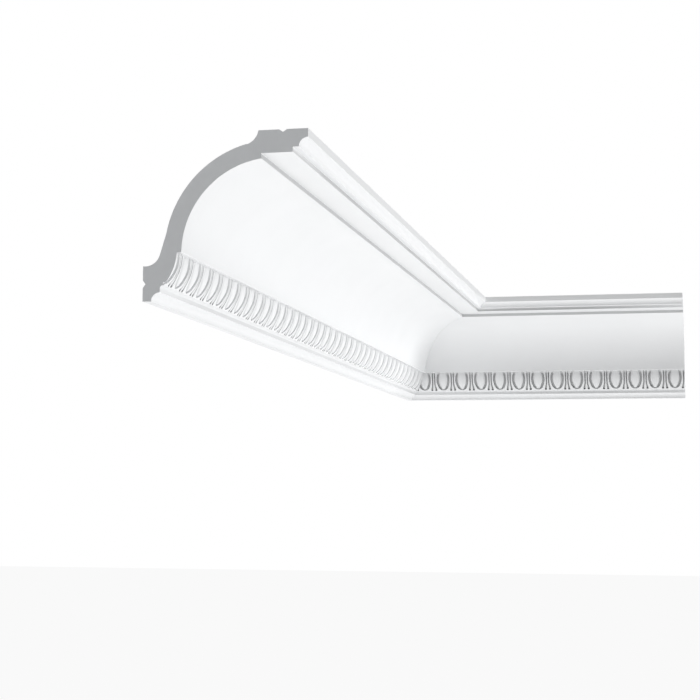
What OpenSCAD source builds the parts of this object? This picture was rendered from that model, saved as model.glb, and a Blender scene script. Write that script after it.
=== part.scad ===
// Egg-and-dart cove cornice: two square-cut lengths meeting in an inside mitre.
//
// Millimetres. Z up. The left wall is the plane x = 0 (the room is at +X), the
// back wall is the plane y = 0 (the room is at -Y). z = 0 is the lower edge of
// the moulding on the wall, z = height is the ceiling. Both wall faces meet on
// the Z axis. Inside the modules a section is drawn with d = distance out from
// the wall and z = height, and s = distance along the wall from the corner.

/* [Overall] */
// Height down the wall (mm)
height = 120;            // [60:1:240]
// Projection along the ceiling (mm)
projection = 120;        // [60:1:240]
// Left length, from the corner of the walls to its square cut (mm)
left_run = 1030;         // [250:1:3000]
// Right length, from the corner of the walls to its square cut (mm)
right_run = 360;         // [200:1:3000]

/* [Lower border] */
// Width of the flat underside next to the wall (mm)
foot_flat = 6.4;         // [3:0.1:12]
// Radius of the lower cavetto (mm)
foot_cavetto = 6.4;      // [3:0.1:10]
// Height of the plain face above the lower cavetto (mm)
border_face = 2.9;       // [1:0.1:6]
// Radius of the small cavetto below the egg band (mm)
border_cavetto = 2.1;    // [1:0.1:4]

/* [Egg-and-dart band] */
// Height of the carved band (mm)
band_height = 23.2;      // [15:0.1:40]
// How far the band leans out from its foot to its top (mm)
band_lean = 9.5;         // [5:0.1:16]
// Radius of the rounded face of the band (mm)
band_radius = 38;        // [25:0.5:80]
// Depth of the carving below the face, at the foot of the band (mm)
carve_foot = 0.7;        // [0.3:0.1:3]
// Depth of the carving below the face, at the top of the band (mm)
carve_top = 3.5;         // [1.5:0.1:6]
// One egg and one dart along the run (mm)
pitch = 24.75;           // [18:0.05:40]
// Width of an egg (mm)
egg_width = 12.4;        // [8:0.1:18]
// Radius of the long side of an egg (mm)
egg_side_radius = 18.5;  // [12:0.5:40]
// Radius of the blunt foot of an egg (mm)
egg_foot_radius = 3.8;   // [2:0.1:6]
// Height of the foot of an egg above the foot of the band (mm)
egg_foot_rise = 3;       // [1.5:0.1:6]
// Width of the hollow an egg sits in (mm)
hollow_width = 17.2;     // [12:0.1:24]
// Radius of the long side of the hollow (mm)
hollow_side_radius = 20; // [14:0.5:40]
// Radius of the foot of the hollow (mm)
hollow_foot_radius = 7;  // [4:0.1:10]
// Width of the dart with its two grooves, at the top (mm)
dart_width = 4.8;        // [3:0.1:8]
// Width of the dart with its two grooves, at the foot (mm)
dart_foot_width = 7.6;   // [4:0.1:9]
// Width of the ridge of the dart, at the top (mm)
ridge_width = 1.3;       // [0.6:0.1:3]

/* [Cove and upper members] */
// Overhang of the lip at the foot of the cove, beyond the band (mm)
lip = 3.4;               // [1:0.1:8]
// Angle the cove sweeps through (degrees)
cove_sweep = 82.6;       // [60:0.1:88]
// Upright fillet above the cove (mm)
cove_fillet = 3.8;       // [1:0.1:8]
// Width of the soffit above the cove fillet (mm)
soffit_width = 22.9;     // [10:0.1:30]
// Upright fillet at the outer edge of the soffit (mm)
soffit_fillet = 3.7;     // [1:0.1:8]
// Width of the second soffit (mm)
second_soffit = 4.5;     // [2:0.1:8]
// Radius of the upper cavetto (mm)
top_cavetto = 6.6;       // [3:0.1:12]
// Upright fillet at the tip, under the ceiling (mm)
tip_fillet = 6.2;        // [3:0.1:12]

/* [Back] */
// Thickness of the shell behind the cove (mm)
shell = 12.7;            // [6:0.1:20]
// Height of the face that bears on the wall (mm)
wall_bearing = 25.3;     // [20:0.1:40]
// Radius at the lower end of the hollow back (mm)
void_low_radius = 11.1;  // [6:0.1:14]
// Radius at the upper end of the hollow back (mm)
void_top_radius = 12.2;  // [6:0.1:14]
// Width of the adhesive grooves in the wall and ceiling faces (mm)
key_width = 5.7;         // [3:0.1:10]
// Depth of the adhesive grooves (mm)
key_depth = 1.9;         // [0.5:0.1:4]
// Height of the middle of the wall adhesive groove (mm)
wall_key_height = 12.4;  // [6:0.1:20]
// Distance of the middle of the ceiling adhesive groove in from the tip (mm)
ceiling_key_inset = 18.2; // [10:0.1:30]

/* [Hidden] */
eps = 0.01;
// Lower border, from the wall outwards.
border_d = foot_flat + foot_cavetto;
border_z = foot_cavetto + border_face;
band_d = border_d + border_cavetto;
band_z = border_z + border_cavetto;
// The rounded face of the band: an arc of band_radius from its foot to its top.
face_foot = [band_d + 0.5, band_z];
face_top = face_foot + [band_lean, band_height];
lip_z = face_top[1];
face_chord = norm(face_top - face_foot);
face_mid = (face_top + face_foot) / 2;
face_dir = (face_top - face_foot) / face_chord;
face_centre = face_mid + [-face_dir[1], face_dir[0]] * sqrt(pow(band_radius, 2) - pow(face_chord / 2, 2));
// The cove: an arc of cove_sweep from the lip to the fillet above it.
cove_foot = [face_top[0] + lip, lip_z];
cove_top = [projection - top_cavetto - second_soffit - soffit_width,
            height - tip_fillet - top_cavetto - soffit_fillet - cove_fillet];
cove_chord = norm(cove_top - cove_foot);
cove_radius = cove_chord / (2 * sin(cove_sweep / 2));
cove_dir = (cove_top - cove_foot) / cove_chord;
cove_centre = (cove_top + cove_foot) / 2 + [cove_dir[1], -cove_dir[0]] * cove_radius * cos(cove_sweep / 2);
// The hollow back follows the cove, one shell thickness behind it.
blend = 0.3;
back_radius = cove_radius + shell;
low_centre = [void_low_radius * 0.15, wall_bearing - 0.1 + void_low_radius];
// A straight runs from the rounded lower end to a point just inside the back arc.
lean_end = cove_centre + [cos(165), sin(165)] * (back_radius - 0.5);
lean_gap = norm(lean_end - low_centre);
lean_angle = atan2(lean_end[1] - low_centre[1], lean_end[0] - low_centre[0]) + asin((void_low_radius - 0.2) / lean_gap);
lean_start = low_centre + [sin(lean_angle), -cos(lean_angle)] * (void_low_radius - 0.2);
top_reach = back_radius + void_top_radius - blend;
top_centre = [cove_centre[0] - sqrt(max(1, pow(top_reach, 2) - pow(height + 2 - cove_centre[1], 2))), height + 2];
// The ground of the carving: a plane leaning from the foot to the top.
ground_foot = face_foot[0] - carve_foot;
ground_top = face_top[0] - carve_top;
// The eggs stand on a leaning axis behind the ground.
egg_mid_z = lip_z - 9.8;
egg_axis = [ground_top - 3.94, egg_mid_z];
egg_tilt = 13.8;
egg_widest = 1.5;
egg_low = -(egg_mid_z - band_z - egg_foot_rise) / cos(egg_tilt);
egg_high = (lip_z + 0.9 - egg_mid_z) / cos(egg_tilt);
hollow_z = band_z + 0.9;
hollow_mid = band_z + 0.61 * band_height;
cells_left = ceil(left_run / pitch) + 1;
cells_right = ceil(right_run / pitch) + 1;
// The left length is cut through the middle of an egg, the right one through the middle of a dart.
phase_left = 0;
phase_right = 0.5;

// ---------------------------------------------------------------- section ---

// The solid outline with a plain band, before the back is hollowed.
module outline_2d() {
    difference() {
        union() {
            polygon([[0, 0], [foot_flat, 0], [border_d, foot_cavetto], [border_d, border_z],
                     [band_d, band_z], face_foot - [0.4, 0], face_top - [0.4, 0], cove_foot + [9, 0], cove_top - [0, 9],
                     cove_top + [0, cove_fillet], cove_top + [soffit_width, cove_fillet],
                     cove_top + [soffit_width, cove_fillet + soffit_fillet],
                     [projection - top_cavetto, height - tip_fillet - top_cavetto],
                     [projection, height - tip_fillet], [projection, height], [0, height]]);
            // The rounded face of the band swells beyond its chord.
            intersection() {
                translate(face_centre) circle(r = band_radius, $fn = 360);
                polygon([face_foot - [6, 0], face_foot + [14, 0], [face_top[0] + 14, lip_z], [face_top[0] - 6, lip_z]]);
            }
        }
        // Hollow members: lower cavetto, small cavetto, cove and upper cavetto.
        translate([border_d, 0]) circle(r = foot_cavetto, $fn = 96);
        translate([band_d, border_z]) circle(r = border_cavetto, $fn = 48);
        intersection() {
            translate(cove_centre) circle(r = cove_radius, $fn = 720);
            translate([face_top[0] - 20, lip_z - 0.9]) square([projection + 20, cove_top[1] - lip_z + 1.8]);
        }
        translate([projection, height - tip_fillet - top_cavetto]) circle(r = top_cavetto, $fn = 96);
    }
}

// The hollow behind the cove.
module void_2d() {
    difference() {
        union() {
            translate(low_centre) circle(r = void_low_radius, $fn = 144);
            translate(top_centre) circle(r = void_top_radius, $fn = 144);
            polygon([[-2, low_centre[1]], low_centre, lean_start, lean_end,
                     cove_centre + (top_centre - cove_centre) / norm(top_centre - cove_centre) * (back_radius - 6),
                     top_centre, top_centre + [0, 3], [-2, height + 5]]);
        }
        translate(cove_centre) circle(r = back_radius, $fn = 720);
    }
}

// The V-shaped adhesive grooves in the wall face and the ceiling face.
module keys_2d() {
    polygon([[-1, wall_key_height - key_width / 2 - 0.5], [0, wall_key_height - key_width / 2],
             [key_depth, wall_key_height], [0, wall_key_height + key_width / 2],
             [-1, wall_key_height + key_width / 2 + 0.5]]);
    translate([projection - ceiling_key_inset, height])
        polygon([[-key_width / 2 - 0.5, 1], [-key_width / 2, 0], [0, -key_depth], [key_width / 2, 0], [key_width / 2 + 0.5, 1]]);
}

module section_2d() {
    difference() {
        outline_2d();
        void_2d();
        keys_2d();
    }
}

// ---------------------------------------------------------------- carving ---

// A closed shape with long round sides and a rounder foot, centred on x = 0.
module pointed_oval_2d(width, side_r, mid_z, foot_z, foot_r, top_z) {
    intersection() {
        translate([side_r - width / 2, mid_z]) circle(r = side_r, $fn = 360);
        translate([width / 2 - side_r, mid_z]) circle(r = side_r, $fn = 360);
        union() {
            translate([0, foot_z + foot_r]) circle(r = foot_r, $fn = 96);
            translate([-width, foot_z + 0.6 * foot_r]) square([2 * width, top_z - foot_z - 0.6 * foot_r]);
        }
    }
}

// The two grooves that leave the ridge of a dart standing, centred on x = 0.
module dart_grooves_2d() {
    for (side = [-1, 1])
        polygon([[side * ridge_width / 2, lip_z], [side * dart_width / 2, lip_z],
                 [side * dart_width / 2, band_z + 0.45 * band_height],
                 [side * dart_foot_width / 2, band_z + 2.2],
                 [side * (dart_foot_width / 2 - 0.5), band_z + 0.8],
                 [side * (ridge_width / 2 + 0.4), band_z + 1.0]]);
}

// Everything cut out of the band along a run, seen from the front (x = s, y = z).
module carving_2d(length, cells, phase) {
    for (i = [0 : cells]) {
        translate([length - (i + phase) * pitch, 0])
            pointed_oval_2d(hollow_width, hollow_side_radius, hollow_mid, hollow_z, hollow_foot_radius, lip_z);
        translate([length - (i + phase + 0.5) * pitch, 0]) dart_grooves_2d();
    }
    // The dart beyond the first egg, where the cut leaves part of it.
    translate([length - (phase - 0.5) * pitch, 0]) dart_grooves_2d();
}

// The carving reaches in as far as the ground plane and no further.
module carving(length, cells, phase) {
    intersection() {
        rotate([90, 0, 90]) linear_extrude(height = face_top[0] + 12) carving_2d(length, cells, phase);
        translate([0, length + pitch, 0]) rotate([90, 0, 0]) linear_extrude(height = length + 4 * pitch)
            polygon([[ground_foot, band_z], [face_top[0] + 20, band_z], [face_top[0] + 20, lip_z + 5],
                     [ground_top + (ground_top - ground_foot) / band_height * 5, lip_z + 5]]);
    }
}

// Half the outline of an egg, turned about its axis.
module egg() {
    rotate_extrude($fn = 96)
        intersection() {
            translate([egg_width / 2 - egg_side_radius, egg_widest]) circle(r = egg_side_radius, $fn = 360);
            union() {
                intersection() {
                    translate([0, egg_low + egg_foot_radius]) circle(r = egg_foot_radius, $fn = 96);
                    translate([0, egg_low - 1]) square([egg_foot_radius + 1, 0.6 * egg_foot_radius + 1.001]);
                }
                translate([0, egg_low + 0.6 * egg_foot_radius]) square([egg_width, egg_high - egg_low - 0.6 * egg_foot_radius]);
            }
        }
}

// ----------------------------------------------------------------- lengths ---

// One length: section along +Y from the corner, carved, mitred and cut square.
module length_of_cornice(length, cells, phase) {
    difference() {
        union() {
            difference() {
                translate([0, length, 0]) rotate([90, 0, 0]) linear_extrude(height = length) section_2d();
                carving(length, cells, phase);
            }
            for (i = [0 : cells])
                if (length - (i + phase) * pitch > 6 && length - (i + phase) * pitch < length + egg_width / 2)
                    translate([egg_axis[0], length - (i + phase) * pitch, egg_axis[1]]) rotate([0, egg_tilt, 0]) egg();
        }
        // The mitre: nothing nearer the corner than d.
        translate([0, 0, -1]) linear_extrude(height = height + 2)
            polygon([[-5, -5], [projection + 5, projection + 5], [projection + 5, -20], [-5, -20]]);
        // The square cut.
        translate([-5, length, -5]) cube([projection + 10, 3 * pitch, height + 10]);
    }
}

// The length on the left wall, running towards -Y.
module left_length() {
    color("WhiteSmoke") mirror([0, 1, 0]) length_of_cornice(left_run, cells_left, phase_left);
}

// The length on the back wall, running towards +X.
module right_length() {
    color("White") rotate([0, 0, -90]) length_of_cornice(right_run, cells_right, phase_right);
}

left_length();
right_length();
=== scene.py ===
"""Egg-and-dart cove cornice at an inside corner: finished lengths, floor, light and camera.

The sizes of the cornice are in mm until they are put into the shared frame, which is in metres.
In a section, d is the distance out from the wall, z the height above the lower edge and s the
distance along the wall from the corner. The left length runs towards -Y, the right one towards +X.
"""
import logging
import math
from dataclasses import dataclass, field
from enum import Enum
from typing import NamedTuple

import bmesh
import bpy
import numpy as np
from mathutils import Matrix, Vector


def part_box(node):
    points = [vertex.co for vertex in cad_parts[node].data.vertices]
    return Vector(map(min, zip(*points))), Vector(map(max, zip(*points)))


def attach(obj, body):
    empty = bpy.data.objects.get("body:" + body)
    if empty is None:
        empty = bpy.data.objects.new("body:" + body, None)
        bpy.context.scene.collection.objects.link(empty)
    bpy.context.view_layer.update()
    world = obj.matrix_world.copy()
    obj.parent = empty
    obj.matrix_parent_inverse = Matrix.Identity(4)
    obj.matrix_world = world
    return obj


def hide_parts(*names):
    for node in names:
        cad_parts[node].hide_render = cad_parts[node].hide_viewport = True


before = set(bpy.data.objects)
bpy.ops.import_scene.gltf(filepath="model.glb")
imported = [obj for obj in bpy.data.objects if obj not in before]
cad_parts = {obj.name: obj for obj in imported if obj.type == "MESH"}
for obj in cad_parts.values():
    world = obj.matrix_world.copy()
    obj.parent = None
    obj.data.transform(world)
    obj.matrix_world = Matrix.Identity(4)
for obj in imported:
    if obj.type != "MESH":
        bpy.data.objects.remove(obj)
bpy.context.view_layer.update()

# One millimetre in metres.
MM = 0.001
# Two places along a run or a section that are nearer than this, in mm, count as one.
SAME = 1e-6
# Vertices nearer than this, in mm, are welded.
WELD = 0.002
# Edges that turn by more than this many degrees stay sharp.
SHARP = 38.0
# A wave texture of scale 1 repeats after this length.
WAVE_REPEAT = 2 * math.pi / 20
LOG = logging.getLogger("cornice")


# ------------------------------------------------------------------ helpers ---

def srgb(code: str) -> tuple[float, float, float, float]:
    """Turn a colour such as "#f2f1ee" into linear RGBA.

    Args:
        code: the sRGB colour as # and six hex digits.

    Returns:
        Linear red, green, blue and an alpha of 1.
    """
    parts = [int(code[i:i + 2], 16) / 255.0 for i in (1, 3, 5)]
    linear = [c / 12.92 if c <= 0.04045 else ((c + 0.055) / 1.055) ** 2.4 for c in parts]
    return (*linear, 1.0)


def arc(centre: tuple[float, float], radius: float, start: float, end: float, steps: int) -> np.ndarray:
    """Points on a circular arc: centre + radius (cos a, sin a), a even from start to end.

    Args:
        centre: the centre, (d, z) in mm.
        radius: the radius in mm.
        start: the first angle in degrees.
        end: the last angle in degrees.
        steps: how many equal steps the arc is cut into.

    Returns:
        An array of (steps + 1, 2) points.
    """
    angle = np.radians(np.linspace(start, end, steps + 1))
    return np.column_stack([centre[0] + radius * np.cos(angle), centre[1] + radius * np.sin(angle)])


def arc_between(centre: np.ndarray, first: np.ndarray, last: np.ndarray, steps: int) -> np.ndarray:
    """The shorter arc about a centre from one point to another, as equal steps of angle.

    Args:
        centre: the centre (d, z).
        first: the first point, which sets the radius.
        last: the last point.
        steps: how many equal steps.

    Returns:
        An array of (steps + 1, 2) points, with the given ends exactly.
    """
    centre, first, last = (np.asarray(v, float) for v in (centre, first, last))
    start = math.degrees(math.atan2(*(first - centre)[::-1]))
    end = math.degrees(math.atan2(*(last - centre)[::-1]))
    end += 360.0 * round((start - end) / 360.0)
    points = arc(tuple(centre), float(np.linalg.norm(first - centre)), start, end, steps)
    points[0], points[-1] = first, last
    return points


def soften(points: np.ndarray, radius: float, limit: float = 25.0, share: float = 0.45) -> np.ndarray:
    """Ease every sharp corner of a polyline with a small parabola.

    A corner p that turns by more than the limit is replaced by the quadratic curve with
    control point p, which starts and ends at the radius from it, or nearer where a side is short.

    Args:
        points: (n, 2) points.
        radius: how far from a corner the easing starts, in mm.
        limit: the smallest turn that counts as a corner, in degrees.
        share: the most that an easing may take of the shorter side.

    Returns:
        The eased points; the two ends stay where they are.
    """
    before, after = points[1:-1] - points[:-2], points[2:] - points[1:-1]
    len_b, len_a = np.linalg.norm(before, axis=1), np.linalg.norm(after, axis=1)
    turn = np.degrees(np.arccos(np.clip((before * after).sum(1) / (len_b * len_a), -1, 1)))
    reach = np.minimum(radius, share * np.minimum(len_a, len_b))[:, None]
    corner = points[1:-1]
    start = corner - before / len_b[:, None] * reach
    end = corner + after / len_a[:, None] * reach
    t = np.linspace(0.0, 1.0, 4)[None, :, None]
    eased = (1 - t) ** 2 * start[:, None] + 2 * t * (1 - t) * corner[:, None] + t ** 2 * end[:, None]
    groups = np.where(turn[:, None, None] > limit, eased, corner[:, None])
    keep = np.ones(groups.shape[:2], bool)
    keep[turn <= limit, 1:] = False
    return np.vstack([points[:1], groups[keep], points[-1:]])


def smooth(x: np.ndarray) -> np.ndarray:
    """The smooth step 3x^2 - 2x^3 of x, held to 0 and 1 outside."""
    x = np.clip(x, 0.0, 1.0)
    return x * x * (3.0 - 2.0 * x)


def quarter_round(x: np.ndarray, r: float | np.ndarray) -> np.ndarray:
    """How far an edge eased by a quarter circle drops: r at x = 0, nothing from x = r on."""
    return r * (1.0 - np.sqrt(np.clip(1.0 - np.clip(1.0 - x / r, 0, 1) ** 2, 0, 1)))


def grid_quads(rows: int, cols: int) -> np.ndarray:
    """The quads of a grid of rows by cols vertices numbered row by row."""
    first = (np.arange(rows - 1)[:, None] * cols + np.arange(cols - 1)[None]).reshape(-1)
    return np.column_stack([first, first + 1, first + cols + 1, first + cols])


# ----------------------------------------------------------------- finishes ---

def node(tree: bpy.types.NodeTree, kind: str, links: dict | None = None, **values: object) -> bpy.types.Node:
    """Add one node, set its properties and sockets, and link its inputs.

    Args:
        tree: the node tree.
        kind: the node's type, such as "ShaderNodeTexNoise".
        links: input name or number to the output socket that feeds it.
        values: property or input names (with _ for a space in an input) and their values.

    Returns:
        The new node.
    """
    made = tree.nodes.new(kind)
    for key, value in values.items():
        if hasattr(made, key):
            setattr(made, key, value)
        else:
            made.inputs[key.replace("_", " ")].default_value = value
    for key, socket in (links or {}).items():
        tree.links.new(socket, made.inputs[key])
    return made


def blank(name: str) -> tuple[bpy.types.Material, bpy.types.NodeTree, bpy.types.Node]:
    """A new node material with one principled shader.

    Args:
        name: the material's name.

    Returns:
        The material, its tree and its shader node.
    """
    material = bpy.data.materials.new(name)
    material.use_nodes = True
    tree = material.node_tree
    return material, tree, next(n for n in tree.nodes if n.type == "BSDF_PRINCIPLED")


def two_tone(tree: bpy.types.NodeTree, factor: bpy.types.NodeSocket, light: str,
             dark: str) -> bpy.types.NodeSocket:
    """Mix two colours by a pattern.

    Args:
        tree: the node tree.
        factor: the output socket of the pattern, 0 to 1.
        light: the colour at 0, as hex.
        dark: the colour at 1, as hex.

    Returns:
        The output socket of the mixed colour.
    """
    mix = node(tree, "ShaderNodeMix", {"Factor": factor}, data_type="RGBA")
    mix.inputs[6].default_value, mix.inputs[7].default_value = srgb(light), srgb(dark)
    return mix.outputs[2]


@dataclass(frozen=True)
class PrimedFoam:
    """White primer sprayed over moulded rigid foam: satin and faintly stippled, with grey painted shade in
    its hollows and creases.

    A real spray's stipple is finer; it is drawn as coarse as it needs to show.
    """

    name: str = "sprayed_primer"
    light: str = "#e4e5e6"
    dull: str = "#e0e1e2"
    # The dark grey of the painted shade in hollows, creases and under the lip.
    painted_shade_colour: str = "#5f6161"
    roughness: tuple[float, float] = (0.37, 0.50)
    mottle_mm: float = 60.0
    stipple_mm: float = 0.7
    stipple_depth_mm: float = 0.02
    stipple_strength: float = 0.12

    def make(self) -> bpy.types.Material:
        """Build the material.

        Returns:
            A material whose colour and gloss drift over a hand's width, which is darkened by the painted
            shade in the vertex value "painted_shade", and whose fine noise gives the sprayed stipple.
        """
        material, tree, shader = blank(self.name)
        place = node(tree, "ShaderNodeTexCoord").outputs["Object"]
        mottle = node(tree, "ShaderNodeTexNoise", {"Vector": place},
                      Scale=1.0 / (self.mottle_mm * MM), Detail=3.0)
        base = two_tone(tree, mottle.outputs["Fac"], self.light, self.dull)
        # Painted shade: the colour is mixed towards the dark grey by a vertex value.
        shade_value = node(tree, "ShaderNodeAttribute", attribute_name="painted_shade")
        tinted = node(tree, "ShaderNodeMix", {"Factor": shade_value.outputs["Fac"], 6: base}, data_type="RGBA")
        tinted.inputs[7].default_value = srgb(self.painted_shade_colour)
        tree.links.new(tinted.outputs[2], shader.inputs["Base Color"])
        rough = node(tree, "ShaderNodeMapRange", {"Value": mottle.outputs["Fac"]},
                     To_Min=self.roughness[0], To_Max=self.roughness[1])
        tree.links.new(rough.outputs[0], shader.inputs["Roughness"])
        stipple = node(tree, "ShaderNodeTexNoise", {"Vector": place},
                       Scale=1.0 / (self.stipple_mm * MM), Detail=2.0)
        bump = node(tree, "ShaderNodeBump", {"Height": stipple.outputs["Fac"]},
                    Strength=self.stipple_strength, Distance=self.stipple_depth_mm * MM)
        tree.links.new(bump.outputs["Normal"], shader.inputs["Normal"])
        return material


@dataclass(frozen=True)
class RawSkin:
    """The unprimed moulded skin of rigid foam on the hidden back: matt and pale, with faint flow marks."""

    name: str = "raw_skin"
    light: str = "#e9e8e4"
    dark: str = "#dddcd7"
    roughness: float = 0.75
    flow_mm: float = 25.0
    flow_swirl: float = 1.2
    pore_mm: float = 1.2
    pore_depth_mm: float = 0.05
    pore_strength: float = 0.3

    def make(self) -> bpy.types.Material:
        """Build the material.

        Returns:
            A matt material with swirled noise as flow marks and a fine pore bump.
        """
        material, tree, shader = blank(self.name)
        place = node(tree, "ShaderNodeTexCoord").outputs["Object"]
        flow = node(tree, "ShaderNodeTexNoise", {"Vector": place},
                    Scale=1.0 / (self.flow_mm * MM), Detail=5.0, Distortion=self.flow_swirl)
        base = two_tone(tree, flow.outputs["Fac"], self.light, self.dark)
        tree.links.new(base, shader.inputs["Base Color"])
        shader.inputs["Roughness"].default_value = self.roughness
        pores = node(tree, "ShaderNodeTexNoise", {"Vector": place},
                     Scale=1.0 / (self.pore_mm * MM), Detail=3.0)
        bump = node(tree, "ShaderNodeBump", {"Height": pores.outputs["Fac"]},
                    Strength=self.pore_strength, Distance=self.pore_depth_mm * MM)
        tree.links.new(bump.outputs["Normal"], shader.inputs["Normal"])
        return material


@dataclass(frozen=True)
class SawnFoam:
    """Fine closed-cell rigid foam where a saw has gone through: pale grey, matt, full of tiny cells.

    Real cells are finer; they are drawn as coarse as they need to show.
    """

    name: str = "sawn_foam"
    light: str = "#d9dbdd"
    dark: str = "#d0d2d4"
    roughness: float = 0.85
    cloud_mm: float = 9.0
    cell_mm: float = 0.45
    stroke_mm: float = 10.05
    stroke_wander: float = 3.0
    relief_mm: float = 0.06
    relief_strength: float = 0.35

    def make(self) -> bpy.types.Material:
        """Build the material.

        Returns:
            A matt pale grey material with rounded cells and faint saw strokes.
        """
        material, tree, shader = blank(self.name)
        place = node(tree, "ShaderNodeTexCoord").outputs["Object"]
        cells = node(tree, "ShaderNodeTexVoronoi", {"Vector": place}, Scale=1.0 / (self.cell_mm * MM))
        cloud = node(tree, "ShaderNodeTexNoise", {"Vector": place},
                     Scale=1.0 / (self.cloud_mm * MM), Detail=4.0)
        base = two_tone(tree, cloud.outputs["Fac"], self.light, self.dark)
        tree.links.new(base, shader.inputs["Base Color"])
        shader.inputs["Roughness"].default_value = self.roughness
        strokes = node(tree, "ShaderNodeTexWave", {"Vector": place}, bands_direction="Z",
                       Scale=WAVE_REPEAT / (self.stroke_mm * MM), Distortion=self.stroke_wander)
        height = node(tree, "ShaderNodeMath", {0: cells.outputs["Distance"], 1: strokes.outputs["Fac"]},
                      operation="ADD")
        bump = node(tree, "ShaderNodeBump", {"Height": height.outputs[0]},
                    Strength=self.relief_strength, Distance=self.relief_mm * MM)
        tree.links.new(bump.outputs["Normal"], shader.inputs["Normal"])
        return material


@dataclass(frozen=True)
class PaleFloor:
    """Plain pale studio floor with an even glow, like a light table, so that it fills soffits evenly."""

    name: str = "pale_floor"
    colour: str = "#f4f4f4"
    roughness: float = 0.9
    glow: float = 0.92

    def make(self) -> bpy.types.Material:
        """Build the material: one pale matt colour with a soft even glow."""
        material, _, shader = blank(self.name)
        shader.inputs["Base Color"].default_value = srgb(self.colour)
        shader.inputs["Roughness"].default_value = self.roughness
        shader.inputs["Emission Color"].default_value = srgb("#ffffff")
        shader.inputs["Emission Strength"].default_value = self.glow
        return material


class Finish(Enum):
    """The finishes of a length; each value is the number of its material slot."""

    PRIMED = 0
    RAW = 1
    SAWN = 2


# ------------------------------------------------------------------ section ---

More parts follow.
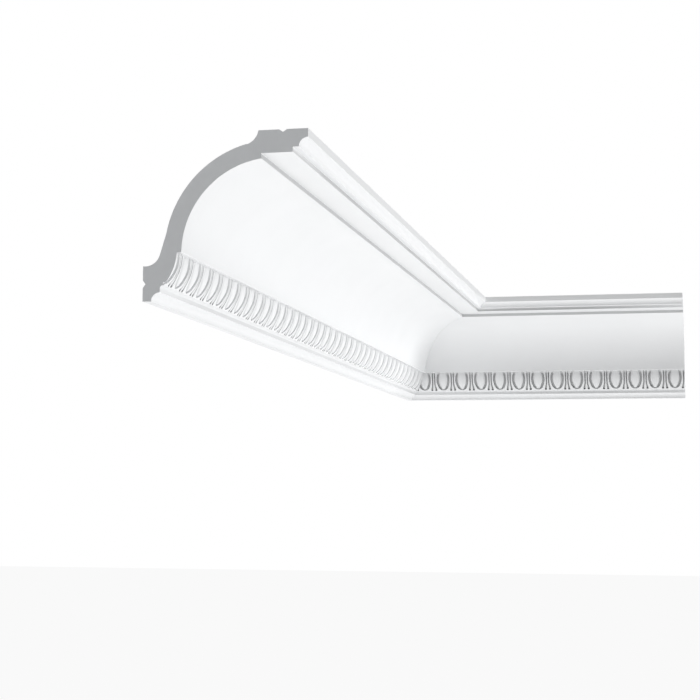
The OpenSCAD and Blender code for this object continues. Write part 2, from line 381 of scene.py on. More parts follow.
@dataclass
class CornicePlan:
    """The section of the cornice, all sizes in mm, and the painted shade on its plain faces.

    The void sizes round off the hollow behind the cove. The lower circle's centre is void_low_set
    of its radius out from the wall, and the circle reaches void_low_drop into the wall's bearing.
    The upper circle's centre is void_top_rise above the ceiling, and the circle laps the back of
    the shell by void_blend. The lean sizes are those of the straight between: it aims at the place
    at lean_angle degrees round the cove, lean_inset inside the back, and laps the lower circle by
    lean_lap. The values of painted shade, for the creases and upright faces where shade falls, go
    from 0 for none to 1 for the full dark shade colour.
    """

    height: float = 120.0
    projection: float = 120.0
    foot_flat: float = 6.4
    foot_cavetto: float = 6.4
    border_face: float = 2.9
    border_cavetto: float = 2.1
    band_ledge: float = 0.5
    band_height: float = 23.2
    band_lean: float = 9.5
    band_radius: float = 38.0
    lip: float = 3.4
    lip_inner: float = 0.6
    cove_sweep: float = 82.6
    cove_fillet: float = 3.8
    soffit_width: float = 22.9
    soffit_fillet: float = 3.7
    second_soffit: float = 4.5
    top_cavetto: float = 6.6
    tip_fillet: float = 6.2
    shell: float = 12.7
    wall_bearing: float = 25.3
    void_low_radius: float = 11.1
    void_low_set: float = 0.15
    void_low_drop: float = 0.1
    void_top_radius: float = 12.2
    void_top_rise: float = 2.0
    void_blend: float = 0.3
    lean_angle: float = 165.0
    lean_inset: float = 0.5
    lean_lap: float = 0.2
    key_width: float = 5.7
    key_depth: float = 1.9
    wall_key_height: float = 12.4
    ceiling_key_inset: float = 18.2
    edge_ease: float = 0.45
    # The painted shade on the upright fillets, the upright border face and the foot, where shade falls.
    fillet_shade: float = 0.43
    border_shade: float = 0.18
    foot_shade: float = 0.1
    foot_shade_height: float = 3.0

    def band_foot(self) -> np.ndarray:
        """The foot of the band's rounded face, (d, z)."""
        return np.array([self.foot_flat + self.foot_cavetto + self.border_cavetto + self.band_ledge,
                         self.foot_cavetto + self.border_face + self.border_cavetto])

    def band_top(self) -> np.ndarray:
        """The top of the band's rounded face, (d, z)."""
        return self.band_foot() + [self.band_lean, self.band_height]

    def lip_start(self) -> np.ndarray:
        """Where the carved band hands over to the plain underside of the lip, (d, z)."""
        return self.band_top() + [self.lip_inner, 0.0]

    def band_face(self, z: np.ndarray) -> np.ndarray:
        """Distance out of the band's plain face at a height: the convex arc through its foot and top.

        Args:
            z: heights in mm.

        Returns:
            d in mm.
        """
        foot, top = self.band_foot(), self.band_top()
        chord = np.linalg.norm(top - foot)
        along = (top - foot) / chord
        inward = np.array([-along[1], along[0]])
        centre = (top + foot) / 2 + inward * math.sqrt(self.band_radius ** 2 - (chord / 2) ** 2)
        return centre[0] + np.sqrt(self.band_radius ** 2 - (z - centre[1]) ** 2)

    def cove_circle(self) -> tuple[np.ndarray, float, np.ndarray, np.ndarray]:
        """The cove's circle, from its chord and its sweep: radius = chord / (2 sin (sweep / 2)).

        Returns:
            Its centre, its radius, and the points where the cove starts and ends.
        """
        foot = self.band_top() + [self.lip, 0.0]
        above = self.tip_fillet + self.top_cavetto + self.soffit_fillet + self.cove_fillet
        beyond = self.top_cavetto + self.second_soffit + self.soffit_width
        top = np.array([self.projection - beyond, self.height - above])
        half_sweep = math.radians(self.cove_sweep / 2)
        chord = np.linalg.norm(top - foot)
        along = (top - foot) / chord
        radius = chord / (2 * math.sin(half_sweep))
        centre = (top + foot) / 2 + np.array([along[1], -along[0]]) * radius * math.cos(half_sweep)
        return centre, radius, foot, top

    def lower_strip(self) -> np.ndarray:
        """The moulded face from the wall to the foot of the band.

        Returns:
            (n, 2) points: flat, cavetto (a quarter circle hollow), face, small cavetto, ledge.
        """
        border = self.foot_flat + self.foot_cavetto
        border_z = self.foot_cavetto + self.border_face
        points = np.vstack([[[0.0, 0.0]],
                            arc((border, 0.0), self.foot_cavetto, 180, 90, 14),
                            arc((border + self.border_cavetto, border_z), self.border_cavetto, 180, 90, 7),
                            self.band_foot()[None]])
        return soften(points, self.edge_ease)

    def upper_strip(self) -> np.ndarray:
        """The moulded face from the lip over the cove to the ceiling.

        Returns:
            (n, 2) points: lip, cove (a hollow arc), fillet, soffit, fillet, soffit, cavetto, tip.
        """
        centre, _, foot, top = self.cove_circle()
        soffit = top + [0.0, self.cove_fillet]
        step = soffit + [self.soffit_width, 0.0]
        second = step + [0.0, self.soffit_fillet]
        points = np.vstack([self.lip_start()[None],
                            arc_between(centre, foot, top, 44),
                            soffit[None], step[None], second[None],
                            arc((self.projection, second[1]), self.top_cavetto, 180, 90, 14),
                            [[self.projection, self.height]]])
        return soften(points, self.edge_ease)

    def plain_shade(self, outline: np.ndarray) -> np.ndarray:
        """How much painted shade the plain faces get, from 0 to 1.

        It is darkest on the two upright fillets under the soffits, where shade falls, and less so on the
        upright face of the border, and it darkens towards the bottom over the lowest part of the foot.
        A point counts as upright when the outline is upright on one side of it.

        Args:
            outline: the (n, 2) points of the lower or the upper strip.

        Returns:
            One value for each point.
        """
        z = outline[:, 1]
        upright = np.abs(np.diff(outline[:, 0])) < SAME
        beside = np.concatenate([[False], upright]) | np.concatenate([upright, [False]])
        shade_value = np.where(z < self.band_foot()[1], self.border_shade, self.fillet_shade)
        shade_value = np.where(beside & (z < self.height - self.tip_fillet - self.top_cavetto), shade_value, 0.0)
        return np.maximum(shade_value, self.foot_shade * np.clip(1.0 - z / self.foot_shade_height, 0, 1))

    def back_strip(self) -> np.ndarray:
        """The hidden side from the tip over the ceiling face, the hollow and the wall face to the foot.

        The hollow's back is an arc one shell thickness behind the cove. A straight runs from there to
        the rounded lower end: it aims at a point just inside the arc, touches the lower circle, and
        meets the arc where the line crosses it.

        Returns:
            (n, 2) points: ceiling face with its V, rounded upper end of the hollow, back of the
            shell, its straight foot, rounded lower end and the wall face with its V.
        """
        cove, radius, _, _ = self.cove_circle()
        back = radius + self.shell
        reach = back + self.void_top_radius - self.void_blend
        top_z = self.height + self.void_top_rise
        top = np.array([cove[0] - math.sqrt(reach ** 2 - (top_z - cove[1]) ** 2), top_z])
        low = np.array([self.void_low_radius * self.void_low_set,
                        self.wall_bearing - self.void_low_drop + self.void_low_radius])
        touch_top = cove + (top - cove) / reach * back
        ceiling_edge = top + [math.sqrt(self.void_top_radius ** 2 - self.void_top_rise ** 2),
                              -self.void_top_rise]
        wall_edge = low + [-low[0], -math.sqrt(self.void_low_radius ** 2 - low[0] ** 2)]

        aim = math.radians(self.lean_angle)
        gap = cove + (back - self.lean_inset) * np.array([math.cos(aim), math.sin(aim)]) - low
        tangent = self.void_low_radius - self.lean_lap
        angle = math.atan2(gap[1], gap[0]) + math.asin(tangent / np.linalg.norm(gap))
        lean = np.array([math.cos(angle), math.sin(angle)])
        out = np.array([math.sin(angle), -math.cos(angle)])
        start = low + out * tangent
        off = start - cove
        drop = float(off @ lean)
        meet = start + lean * (-drop - math.sqrt(drop ** 2 - float(off @ off) + back ** 2))

        key, half = self.projection - self.ceiling_key_inset, self.key_width / 2
        ceiling_face = [[self.projection, self.height], [key + half, self.height],
                        [key, self.height - self.key_depth], [key - half, self.height]]
        wall_face = [[0.0, self.wall_key_height + half], [self.key_depth, self.wall_key_height],
                     [0.0, self.wall_key_height - half], [0.0, 0.0]]
        return np.vstack([ceiling_face,
                          arc_between(top, ceiling_edge, touch_top, 12),
                          arc_between(cove, touch_top, meet, 30)[1:],
                          arc_between(low, low + out * self.void_low_radius, wall_edge, 12),
                          wall_face])


# ------------------------------------------------------------------ carving ---

@dataclass
class EggAndDart:
    """The carved band: outlines and relief of one egg and one dart, all sizes in mm.

    A side is the radius of an oval's long side arc, a middle is the height of its widest place, and
    a flare is how much wider a dart or its ridge is at the foot. A fade is the height over which
    something comes in, and a lead is how far early it starts. The floor is the least distance out
    of the carving's ground. The values from fine_height on set the grid; least_width only keeps a
    division from being by nothing.
    """

    plan: CornicePlan
    pitch: float = 24.75
    depth: float = 3.4
    floor: float = 14.9
    rim_ease: float = 0.45

    egg_width: float = 12.8
    egg_side: float = 18.5
    egg_middle: float = 26.3
    egg_foot: float = 13.5
    egg_foot_radius: float = 3.6
    egg_foot_height: float = 2.1
    egg_fullness: float = 3.6
    egg_flatness: float = 0.4
    egg_fade: float = 1.0

    hollow_width: float = 17.2
    hollow_side: float = 20.0
    hollow_middle: float = 25.5
    hollow_foot: float = 12.2
    hollow_foot_radius: float = 7.0
    hollow_foot_height: float = 4.2
    hollow_fall: float = 0.2
    hollow_lead: float = 0.15
    hollow_fade: float = 0.5

    dart_half: float = 2.15
    dart_foot: float = 11.9
    dart_fade: float = 0.7
    dart_flare: float = 1.7
    dart_flare_top: float = 21.0
    dart_flare_height: float = 7.5
    dart_flare_bend: float = 1.4
    ridge_half: float = 0.8
    ridge_sink: float = 0.1
    ridge_round: float = 0.8
    ridge_flare: float = 0.85
    ridge_flare_top: float = 20.0
    ridge_flare_height: float = 6.0
    pit_height: float = 3.0
    pit_depth: float = 1.2
    # The next two shape the painted shade at the feet of the dart grooves.
    pit_lap: float = 0.8
    pit_fade_in: float = 0.3

    foot_fade: float = 0.4
    lip_fade: float = 1.9
    lip_lead: float = 1.4
    lip_share: float = 0.7
    # The painted shade under the lip, where the lip shades the top of the band.
    lip_shade: float = 0.3
    lip_shade_lead: float = 6.0
    lip_shade_fade: float = 14.0

    fine_height: float = 6.0
    fine_rows: int = 19
    upper_rows: int = 25
    least_egg: float = 0.5
    least_hollow: float = 1.1
    least_width: float = 0.001

    def heights(self) -> np.ndarray:
        """The rows of the grid: close together at the foot, wider above."""
        foot, top = self.plan.band_foot()[1], self.plan.band_top()[1]
        return np.concatenate([np.linspace(foot, foot + self.fine_height, self.fine_rows),
                               np.linspace(foot + self.fine_height, top, self.upper_rows)[1:]])

    def oval_half(self, z: np.ndarray, width: float, side: float, middle: float, foot: float,
                  foot_radius: float, foot_height: float) -> np.ndarray:
        """Half the width of a pointed oval: a long side arc, and a smaller arc at its foot.

        The side is width / 2 - (side - sqrt(side^2 - (z - middle)^2)). The foot is a circle that
        stands on the foot's height, taken where it is the narrower of the two.

        Args:
            z: heights.
            width: the width at the middle.
            side: the radius of the side arc.
            middle: the height of the widest place.
            foot: the height of the lowest point.
            foot_radius: the radius at the foot.
            foot_height: how far above the foot the foot's arc can count.

        Returns:
            Half the width at each height, 0 below the foot.
        """
        sides = width / 2 - (side - np.sqrt(np.maximum(side ** 2 - (z - middle) ** 2, 0)))
        below = np.minimum(z - foot - foot_radius, 0)
        rounded = np.sqrt(np.maximum(foot_radius ** 2 - below ** 2, 0))
        half = np.where(z < foot + foot_height, np.minimum(sides, rounded), sides)
        return np.where(z > foot, half, 0.0).clip(0.0)

    def egg_half(self, z: np.ndarray) -> np.ndarray:
        """Half the width of an egg."""
        return self.oval_half(z, self.egg_width, self.egg_side, self.egg_middle, self.egg_foot,
                              self.egg_foot_radius, self.egg_foot_height)

    def hollow_half(self, z: np.ndarray) -> np.ndarray:
        """Half the width of the hollow round an egg."""
        return self.oval_half(z, self.hollow_width, self.hollow_side, self.hollow_middle, self.hollow_foot,
                              self.hollow_foot_radius, self.hollow_foot_height)

    def dart_half_at(self, z: np.ndarray) -> np.ndarray:
        """Half the width of a dart with its grooves, which flare towards the foot."""
        flare = np.clip((self.dart_flare_top - z) / self.dart_flare_height, 0, 1) ** self.dart_flare_bend
        return self.dart_half + self.dart_flare * flare

    def ridge_half_at(self, z: np.ndarray) -> np.ndarray:
        """Half the width of the ridge of a dart, a little wider towards the foot."""
        flare = np.clip((self.ridge_flare_top - z) / self.ridge_flare_height, 0, 1)
        return self.ridge_half + self.ridge_flare * flare

    def hollow_cut(self, au: np.ndarray, z: np.ndarray, deep: np.ndarray) -> np.ndarray:
        """How far a hollow and its egg are cut behind the face.

        The floor falls a little from the egg to the rim. The egg rises from it with the section
        (1 - x^3.6)^0.4, where x is the share of its half width, and with a rounded foot. Beyond the
        hollow the edge is eased with a quarter round.

        Args:
            au: distance from the middle of the egg.
            z: height, of the same shape.
            deep: the depth of the floor, of the same shape.

        Returns:
            The cut in mm.
        """
        egg, hollow = self.egg_half(z), self.hollow_half(z)
        share = au / np.maximum(egg, self.least_width)
        dome = np.clip(1.0 - share ** self.egg_fullness, 0, 1) ** self.egg_flatness
        rise = np.clip(1 - (z - self.egg_foot) / self.egg_fade, 0, 1)
        dome = dome * np.sqrt(1 - rise ** 2)
        fall = self.hollow_fall * np.clip((au - egg) / np.maximum(hollow - egg, self.least_width), 0, 1)
        cut = np.where(au < hollow, (deep + fall) * (1 - dome), quarter_round(au - hollow, self.rim_ease))
        return cut * smooth((z - self.hollow_foot + self.hollow_lead) / self.hollow_fade)

    def dart_cut(self, v: np.ndarray, z: np.ndarray, deep: np.ndarray) -> np.ndarray:
        """How far a dart is cut behind the face.

        Its two grooves go down to the floor, and deeper in a small pit at their foot. Its ridge is a
        low round, and beyond the grooves the edge is eased with a quarter round.

        Args:
            v: distance from the middle of the dart.
            z: height, of the same shape.
            deep: the depth of the floor, of the same shape.

        Returns:
            The cut in mm.
        """
        dart, ridge = self.dart_half_at(z), self.ridge_half_at(z)
        low_round = self.ridge_round * quarter_round(ridge - v, ridge) / ridge
        on_ridge = np.minimum(deep, self.ridge_sink + low_round)
        in_groove = deep + self.pit_depth * self.pit_fade(z)
        beyond = quarter_round(v - dart, self.rim_ease)
        cut = np.where(v < ridge, on_ridge, np.where(v < dart, in_groove, beyond))
        return cut * smooth((z - self.dart_foot) / self.dart_fade)

    def relief(self, u: np.ndarray, z: np.ndarray) -> tuple[np.ndarray, np.ndarray]:
        """Distance out of the carved face: the band's arc less the deeper of the two cuts.

        The cuts fade out above the foot of the band and grow shallow just under the lip.

        Args:
            u: distance from the middle of the nearest egg, in mm.
            z: height, in mm, of the same shape.

        Returns:
            d in mm, and the painted shade from 0 (plain face or top of an egg) to 1 (floor), darker as
            the cut is deeper; there is also a little more painted shade towards the lip.
        """
        au = np.abs(u)
        face = self.plan.band_face(z)
        deep = np.minimum(self.depth, np.maximum(face - self.floor, 0.0))
        carved = np.maximum(self.hollow_cut(au, z, deep), self.dart_cut(self.pitch / 2 - au, z, deep))
        carved = carved * smooth((z - self.plan.band_foot()[1]) / self.foot_fade)
        under_lip = smooth((z - self.plan.band_top()[1]) / self.lip_fade + self.lip_lead)
        carved = carved * (1.0 - self.lip_share * under_lip)
        # Painted shade that grows towards the lip, where the lip shades the band.
        shade_value = self.lip_shade * smooth((z - self.egg_middle + self.lip_shade_lead) / self.lip_shade_fade)
        # The painted shade is darker where the cut is deeper.
        return face - carved, np.clip(carved / self.depth + shade_value, 0, 1)

    def pit_fade(self, z: np.ndarray) -> np.ndarray:
        """How far into its pit a dart groove is at a height: 1 at its foot, 0 above the pit."""
        return smooth((self.dart_foot + self.pit_height - z) / self.pit_height)

    def pit_shade(self, u: np.ndarray, z: np.ndarray) -> np.ndarray:
        """Painted shade at the feet of the dart grooves: 1 near their lowest point, 0 above the pit.

        Args:
            u: distance from the middle of the nearest egg, in mm.
            z: height, in mm, of the same shape.

        Returns:
            A value from 0 to 1, which is 0 outside the two grooves.
        """
        v = self.pitch / 2 - np.abs(u)
        inside = (v > self.ridge_half_at(z) * self.pit_lap) & (v < self.dart_half_at(z))
        fade_in = smooth((z - self.dart_foot + self.pit_fade_in) / self.pit_fade_in)
        return np.where(inside, self.pit_fade(z) * fade_in, 0.0)

    def columns(self, z: np.ndarray) -> np.ndarray:
        """Where the grid's columns lie across one repeat, so that they follow every outline.

        Each half repeat has five spans: egg, groove, rim, dart groove and ridge. Every span is cut
        at fixed shares of its own width at that height.

        Args:
            z: the heights of the rows.

        Returns:
            u for each row and column, from minus to plus half a pitch.
        """
        half = self.pitch / 2
        marks = [np.zeros_like(z),
                 np.maximum(self.egg_half(z), self.least_egg),
                 np.maximum(self.hollow_half(z), self.least_hollow),
                 half - self.dart_half_at(z),
                 half - self.ridge_half_at(z),
                 np.full_like(z, half)]
        shares = [np.sin(np.linspace(0, math.pi / 2, 9)) * 0.999,
                  np.array([0.06, 0.35, 0.65, 0.96]),
                  np.array([0.01, 0.10, 0.3, 0.5, 0.7, 0.9, 0.99]),
                  np.array([0.05, 0.5, 0.95]),
                  np.array([0.05, 0.3, 0.65, 1.0])]
        # Near an outline the columns stand close together, so that its edge is drawn sharply.
        spans = [start[:, None] + (end - start)[:, None] * share[None]
                 for start, end, share in zip(marks[:-1], marks[1:], shares)]
        right = np.concatenate(spans, axis=1)
        return np.concatenate([-right[:, :0:-1], right], axis=1)


# ------------------------------------------------------------------ lengths ---

class Side(Enum):
    """Which wall a length is fixed to."""

    LEFT = "left"
    RIGHT = "right"


class Cut(Enum):
    """What the square cut goes through, as a share of the repeat from the middle of an egg."""

    EGG = 0.0
    DART = 0.5


@dataclass
class Surface:
    """Patches of one skin, collected before they are welded into a mesh."""

    points: list[np.ndarray] = field(default_factory=list)
    faces: list[list[int]] = field(default_factory=list)
    slots: list[int] = field(default_factory=list)
    shade_value: list[np.ndarray] = field(default_factory=list)
    count: int = 0

    def add(self, points: np.ndarray, polys: np.ndarray | list[np.ndarray], finish: Finish,
            shade_value: np.ndarray | None = None) -> None:
        """Add one patch.

        Args:
            points: (n, 3) places in metres.
            polys: the patch's polygons, numbered from 0.
            finish: the finish of all its polygons.
            shade_value: the painted shade at each point; none if left out.
        """
        self.points.append(points)
        self.shade_value.append(np.zeros(len(points)) if shade_value is None else shade_value)
        self.faces.extend((np.asarray(poly) + self.count).tolist() for poly in polys)
        self.slots.extend([finish.value] * len(polys))
        self.count += len(points)

    def mesh(self, name: str, finishes: dict[Finish, bpy.types.Material]) -> bpy.types.Mesh:
        """Weld the patches into one closed, smooth-shaded mesh that faces outwards.

        Args:
            name: the mesh's name.
            finishes: the material of each finish.

        Returns:
            The mesh, with the painted shade as the vertex value "painted_shade".
        """
        mesh = bpy.data.meshes.new(name)
        mesh.from_pydata(np.vstack(self.points).tolist(), [], self.faces)
        value = mesh.attributes.new("painted_shade", "FLOAT", "POINT")
        value.data.foreach_set("value", np.concatenate(self.shade_value).astype(np.float32))
        mesh.polygons.foreach_set("material_index", np.array(self.slots, np.int32))
        for finish in Finish:
            mesh.materials.append(finishes[finish])
        form = bmesh.new()
        form.from_mesh(mesh)
        bmesh.ops.remove_doubles(form, verts=form.verts, dist=WELD * MM)
        bmesh.ops.recalc_face_normals(form, faces=form.faces)
        form.to_mesh(mesh)
        form.free()
        mesh.polygons.foreach_set("use_smooth", np.ones(len(mesh.polygons), bool))
        mesh.set_sharp_from_angle(angle=math.radians(SHARP))
        return mesh


class CarvedBand(NamedTuple):
    """The carved band's skin, and the edges where its neighbours meet it."""

    points: np.ndarray
    quads: np.ndarray
    shade_value: np.ndarray
    mitre_row: np.ndarray
    edges: np.ndarray


@dataclass
class CorniceLength:
    """One length: the section carried along a wall, carved, mitred and cut square.

    shade_share is how much of the carving's painted shade shows on this length, and lip_shade the
    painted shade along the lip. The mitre is searched for between two distances, in mm.
    """

    node_name: str
    side: Side
    length: float
    cut: Cut
    plan: CornicePlan
    carving: EggAndDart
    shade_share: float
    lip_shade: float = 0.35
    eggs_a_span: int = 4
    mitre_search: tuple[float, float] = (10.0, 32.0)
    mitre_samples: int = 2201

    def place(self, d: np.ndarray, s: np.ndarray, z: np.ndarray) -> np.ndarray:
        """Put section coordinates into the room: (d, -s, z) on the left wall, (s, -d, z) on the back wall."""
        room = (d, -s, z) if self.side is Side.LEFT else (s, -d, z)
        return np.stack(room, axis=-1) * MM

    def from_egg(self, s: np.ndarray) -> np.ndarray:
        """Distance along the run from the middle of the nearest egg, for a point s along the wall."""
        turns = (self.length - s) / self.carving.pitch - self.cut.value
        return -(turns - np.round(turns)) * self.carving.pitch

    def mitre_line(self, z: np.ndarray) -> np.ndarray:
        """Where each row of the band meets the mitre: the last s at which its face reaches out to d = s.

        The reach d - s is sampled along the run, and the crossing is found by a straight line
        between the last sample that reaches and the next.

        Args:
            z: the heights of the rows.

        Returns:
            s, which is also d, for each row.
        """
        s = np.linspace(*self.mitre_search, self.mitre_samples)[None].repeat(len(z), 0)
        d, _ = self.carving.relief(self.from_egg(s), z[:, None].repeat(s.shape[1], 1))
        reach = d - s
        rows = np.arange(len(z))
        last = s.shape[1] - 1 - np.argmax(reach[:, ::-1] > 0, axis=1)
        before, after = reach[rows, last], reach[rows, last + 1]
        return s[0, last] + (s[0, 1] - s[0, 0]) * before / (before - after)

    def stations(self, d: np.ndarray) -> np.ndarray:
        """Where the plain strips are divided along the run, at places where the band has a vertex too.

        Args:
            d: the distance out of each row.

        Returns:
            s for each row and station: the mitre (s = d), the middle of every fourth egg, the square cut.
        """
        step = self.eggs_a_span * self.carving.pitch
        first = self.length - self.cut.value * self.carving.pitch - step
        eggs = np.arange(first, self.plan.projection, -step)[::-1]
        return np.column_stack([d, np.tile(eggs, (len(d), 1)), np.full(len(d), self.length)])

    def strip(self, outline: np.ndarray) -> tuple[np.ndarray, np.ndarray]:
        """Carry a plain outline from the mitre to the square cut.

        Args:
            outline: (n, 2) points of the section.

        Returns:
            Vertices and quads, with one row for each point and one column for each station.
        """
        s = self.stations(outline[:, 0])
        d, z = (outline[:, i:i + 1].repeat(s.shape[1], 1) for i in (0, 1))
        return self.place(d, s, z).reshape(-1, 3), grid_quads(*s.shape)

    def seam(self, plain: np.ndarray, edge: np.ndarray,
             edge_s: np.ndarray) -> tuple[np.ndarray, list[np.ndarray]]:
        """The narrow flat face between a plain row and an edge of the band, closed without gaps.

        Each span between two stations is one polygon: two corners on the plain row and, on the
        other side, every vertex that the band has there.

        Args:
            plain: the plain row, (d, z).
            edge: the band's edge, (d, z).
            edge_s: s of the band's vertices along that edge.

        Returns:
            Vertices and polygons.
        """
        corners, marks = self.stations(np.array([plain[0], edge[0]]))
        row = np.unique(edge_s)
        points, polys, total = [], [], 0
        for k in range(len(marks) - 1):
            chain = row[(row > marks[k] - SAME) & (row < marks[k + 1] + SAME)][::-1]
            s = np.concatenate([corners[k:k + 2], chain])
            d, z = (np.concatenate([[plain[i]] * 2, np.full(len(chain), edge[i])]) for i in (0, 1))
            points.append(self.place(d, s, z))
            polys.append(np.arange(len(s)) + total)
            total += len(s)
        return np.vstack(points), polys

    def band(self) -> CarvedBand:
        """The carved band with the inner underside of the lip above it.

        The grid of one repeat is laid end to end and held between the mitre and the square cut;
        quads that come to nothing there are left out.

        Returns:
            Its vertices, quads and values of painted shade, its edge at the mitre as (s, z), and s of
            the vertices along its foot and along the lip.
        """
        z = self.carving.heights()
        repeats = np.arange(math.ceil(self.length / self.carving.pitch) + 2)[::-1]
        centres = self.length - (repeats + self.cut.value - 1.0) * self.carving.pitch
        s = (centres[None, :, None] + self.carving.columns(z)[:, None, 1:]).reshape(len(z), -1)
        near = self.mitre_line(z)
        low = near[:, None]
        zz = z[:, None].repeat(s.shape[1], 1)
        held = np.clip(s, low, self.length)
        d, shade_value = self.carving.relief(self.from_egg(held), zz)
        # Painted shade: this length's share of the carving's shade, and dark feet in the dart grooves.
        shade_value = np.maximum(shade_value * self.shade_share, self.carving.pit_shade(self.from_egg(held), zz))
        d = np.where(held <= low, low, d)

        lip = self.plan.lip_start()[0]
        held = np.vstack([held, np.maximum(held[-1:], lip)])
        d, zz = np.vstack([d, np.full_like(d[:1], lip)]), np.vstack([zz, zz[-1:]])
        # The underside of the lip gets painted shade.
        shade_value = np.vstack([shade_value, np.full_like(shade_value[:1], self.lip_shade)])
        quads = grid_quads(*d.shape)
        wide = np.ptp(held.reshape(-1)[quads], axis=1) > SAME
        return CarvedBand(self.place(d, held, zz).reshape(-1, 3), quads[wide], shade_value.reshape(-1),
                          np.column_stack([near, z]), held[[0, -1]])

    def cut_outline(self, at_mitre: bool, mitre_row: np.ndarray) -> np.ndarray:
        """The closed outline of the section at one end.

        Args:
            at_mitre: True at the mitre, False at the square cut.
            mitre_row: the band's row at the mitre, (s, z).

        Returns:
            (n, 2) points (d, z) round the section.
        """
        if at_mitre:
            face = mitre_row
        else:
            z = self.carving.heights()
            d, _ = self.carving.relief(self.from_egg(np.full_like(z, self.length)), z)
            face = np.column_stack([d, z])
        lower, upper, back = self.plan.lower_strip(), self.plan.upper_strip(), self.plan.back_strip()
        return np.vstack([lower[:-1], face, upper, back[1:-1]])

    def surface(self) -> Surface:
        """Collect the band, the plain strips with their seams, the back and the two cut ends."""
        skin = Surface()
        band = self.band()
        skin.add(band.points, band.quads, Finish.PRIMED, band.shade_value)
        for outline, edge_s in zip((self.plan.lower_strip()[::-1], self.plan.upper_strip()), band.edges):
            points, quads = self.strip(outline[1:])
            # Painted shade on the upright faces and the foot.
            shade_value = self.plan.plain_shade(outline)[1:]
            skin.add(points, quads, Finish.PRIMED, shade_value.repeat(len(points) // len(shade_value)))
            skin.add(*self.seam(outline[1], outline[0], edge_s), Finish.PRIMED)
        skin.add(*self.strip(self.plan.back_strip()), Finish.RAW)
        for at_mitre in (False, True):
            outline = self.cut_outline(at_mitre, band.mitre_row)
            s = outline[:, 0] if at_mitre else np.full(len(outline), self.length)
            skin.add(self.place(outline[:, 0], s, outline[:, 1]), [np.arange(len(outline))], Finish.SAWN)
        return skin

    def build(self, finishes: dict[Finish, bpy.types.Material]) -> bpy.types.Object:
        """Make the finished length as one object that stands for its node.

        Args:
            finishes: the material of each finish.

        Returns:
            The object, riding on the root body.
        """
        name = f"{self.node_name}_finish"
        mesh = self.surface().mesh(name, finishes)
        piece = bpy.data.objects.new(name, mesh)
        bpy.context.scene.collection.objects.link(piece)
        flat = piece.modifiers.new("flat_faces", "WEIGHTED_NORMAL")
        flat.mode, flat.keep_sharp = "FACE_AREA", True
        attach(piece, "root")
        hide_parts(self.node_name)
        LOG.info("%s: %d vertices, %d faces", name, len(mesh.vertices), len(mesh.polygons))
        return piece


# ------------------------------------------------------------------- studio ---

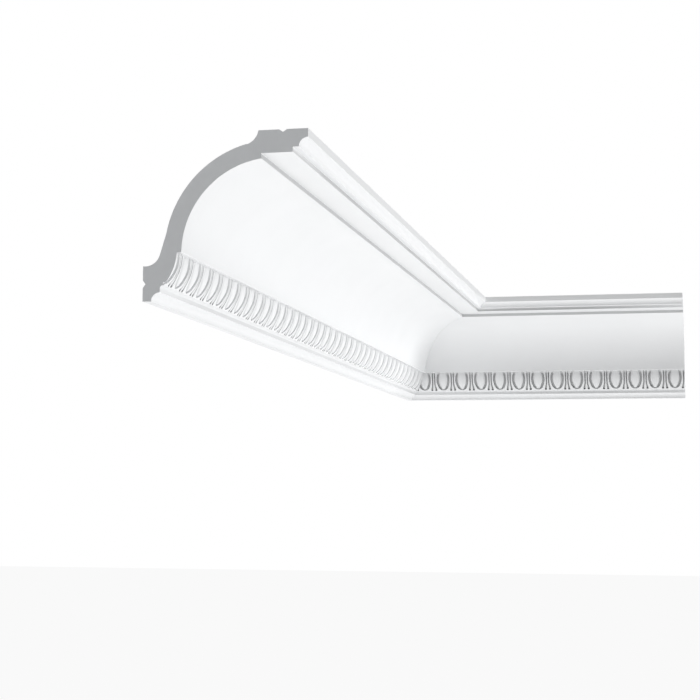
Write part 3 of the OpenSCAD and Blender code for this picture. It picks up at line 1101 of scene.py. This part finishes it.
@dataclass
class Studio:
    """Floor, soft light and camera: metres, degrees and watts, and the lens and sensor in mm."""

    floor_z: float = -2.4
    floor_half: float = 60.0
    surround: float = 0.03
    middle: tuple[float, float, float] = (0.14, -0.35, 0.06)
    light_distance: float = 3.0
    lens_mm: float = 83.57
    yaw: float = 12.593
    pitch: float = 5.719
    roll: float = 0.357
    eye: tuple[float, float, float] = (0.3931, -2.1136, -0.148)
    sensor_mm: float = 36.0
    sight: float = 200.0

    def floor(self) -> None:
        """A wide plain pale floor, a room's height below the moulding."""
        half = self.floor_half
        corners = [(-half, -half, self.floor_z), (half, -half, self.floor_z),
                   (half, half, self.floor_z), (-half, half, self.floor_z)]
        mesh = bpy.data.meshes.new("studio_floor")
        mesh.from_pydata(corners, [], [(0, 1, 2, 3)])
        mesh.materials.append(PaleFloor().make())
        floor = bpy.data.objects.new("studio_floor", mesh)
        bpy.context.scene.collection.objects.link(floor)

    def light(self) -> None:
        """A surround that looks white but lights dimly, and four large soft lights round the object."""
        world = bpy.data.worlds.new("studio")
        world.use_nodes = True
        tree = world.node_tree
        shade = next(n for n in tree.nodes if n.type == "BACKGROUND")
        shade.inputs["Color"].default_value = srgb("#ffffff")
        seen = node(tree, "ShaderNodeLightPath").outputs["Is Camera Ray"]
        level = node(tree, "ShaderNodeMapRange", {"Value": seen}, To_Min=self.surround, To_Max=1.0)
        tree.links.new(level.outputs[0], shade.inputs["Strength"])
        bpy.context.scene.world = world
        self.soft_box("side_light", toward=(1.0, 0.15, -0.05), size=1.2, power=26.0)
        self.soft_box("high_side_light", toward=(1.0, 0.05, 0.5), size=1.2, power=42.0)
        self.soft_box("top_light", toward=(0.0, -0.42, 0.9), size=2.0, power=28.0)
        self.soft_box("back_light", toward=(-0.5, 0.8, 0.5), size=2.0, power=52.0)

    def soft_box(self, name: str, toward: tuple[float, float, float], size: float, power: float) -> None:
        """A square area light that looks at the middle of the object and isn't seen itself.

        Args:
            name: the light's name.
            toward: the direction from the object to the light.
            size: the side of the square, in metres.
            power: in watts.
        """
        middle = Vector(self.middle)
        lamp = bpy.data.lights.new(name, "AREA")
        lamp.size, lamp.energy = size, power
        holder = bpy.data.objects.new(name, lamp)
        holder.location = middle + Vector(toward).normalized() * self.light_distance
        holder.rotation_euler = (middle - holder.location).to_track_quat("-Z", "Y").to_euler()
        holder.visible_camera = False
        bpy.context.scene.collection.objects.link(holder)

    def camera(self) -> None:
        """A long lens at eye height below the moulding, looking a little up and to the left."""
        data = bpy.data.cameras.new("camera")
        data.lens, data.sensor_width, data.clip_end = self.lens_mm, self.sensor_mm, self.sight
        holder = bpy.data.objects.new("camera", data)
        turn = (Matrix.Rotation(math.radians(self.yaw), 4, "Z")
                @ Matrix.Rotation(math.radians(90 + self.pitch), 4, "X")
                @ Matrix.Rotation(math.radians(self.roll), 4, "Z"))
        holder.matrix_world = Matrix.Translation(Vector(self.eye)) @ turn
        bpy.context.scene.collection.objects.link(holder)
        bpy.context.scene.camera = holder


def main() -> None:
    """Build both lengths, dress them, and set up the studio."""
    logging.basicConfig(level=logging.INFO, format="%(message)s")
    bpy.context.scene.view_settings.view_transform = "Standard"
    finishes = {Finish.PRIMED: PrimedFoam().make(),
                Finish.RAW: RawSkin().make(),
                Finish.SAWN: SawnFoam().make()}
    plan = CornicePlan()
    carving = EggAndDart(plan)
    left_run = -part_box("left_length")[0][1] / MM
    right_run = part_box("right_length")[1][0] / MM
    # The left length, which faces the side lights, takes less painted shade than the right one.
    lengths = [
        CorniceLength("left_length", Side.LEFT, left_run, Cut.EGG, plan, carving, shade_share=0.1),
        CorniceLength("right_length", Side.RIGHT, right_run, Cut.DART, plan, carving, shade_share=0.43),
    ]
    for length in lengths:
        length.build(finishes)
    studio = Studio()
    studio.floor()
    studio.light()
    studio.camera()


if __name__ == "__main__":
    main()
